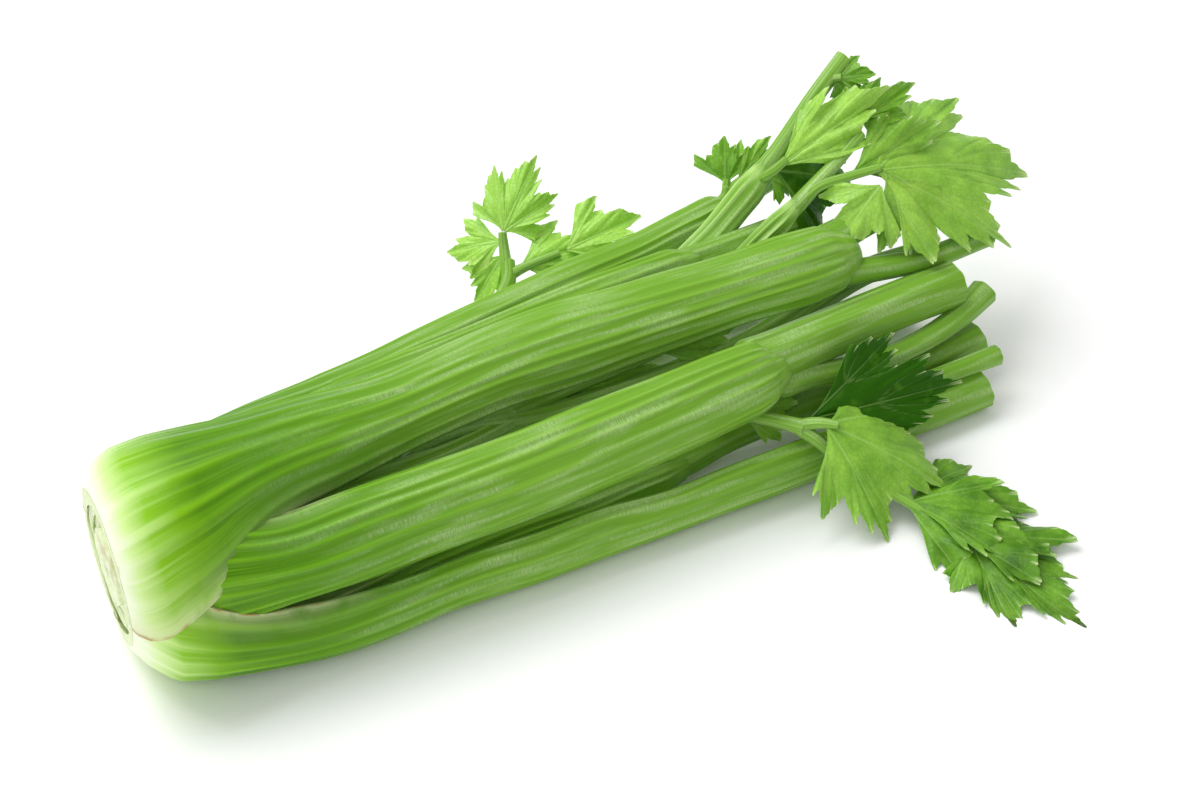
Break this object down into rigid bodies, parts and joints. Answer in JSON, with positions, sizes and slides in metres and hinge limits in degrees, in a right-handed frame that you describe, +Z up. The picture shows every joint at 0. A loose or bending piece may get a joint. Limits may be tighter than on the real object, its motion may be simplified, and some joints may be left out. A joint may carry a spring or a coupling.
{
  "type": "celery head",
  "caption": "Head of celery lying down: a cut crown, ribbed stalks that wrap round one another at the base, and toothed leaves.",
  "frame": {"origin": "on the surface it lies on, under the middle of its bounding box", "axes": "+X along the head from the cut crown to the leaves, +Z up from the surface, +Y to the back of the head"},
  "size_m": [0.4284, 0.2726, 0.1172],
  "materials": {
    "crown": "pale cut root end, moist and matte",
    "stalk": "waxy green stalk with pale ribs, satin gloss",
    "heart": "lighter green inner stalk, satin gloss",
    "leaf": "green leaf blade, soft gloss, paler veins"
  },
  "bodies": {
    "root": {"crown": "crown", "stalk_top": "stalk", "stalk_front": "stalk", "stalk_rear": "stalk", "stalk_middle": "stalk", "stalk_back": "stalk", "stalk_low": "stalk", "stalk_under": "stalk", "stalk_inner": "stalk", "stalk_slim": "stalk", "heart_tall": "heart", "heart_mid": "heart", "heart_front": "heart", "heart_small": "heart", "leaf_front": "leaf", "leaf_crest": "leaf", "leaf_tall": "leaf", "leaf_mid": "leaf", "leaf_back": "leaf", "leaf_slim": "leaf", "leaf_small": "leaf"}
  },
  "joints": []
}
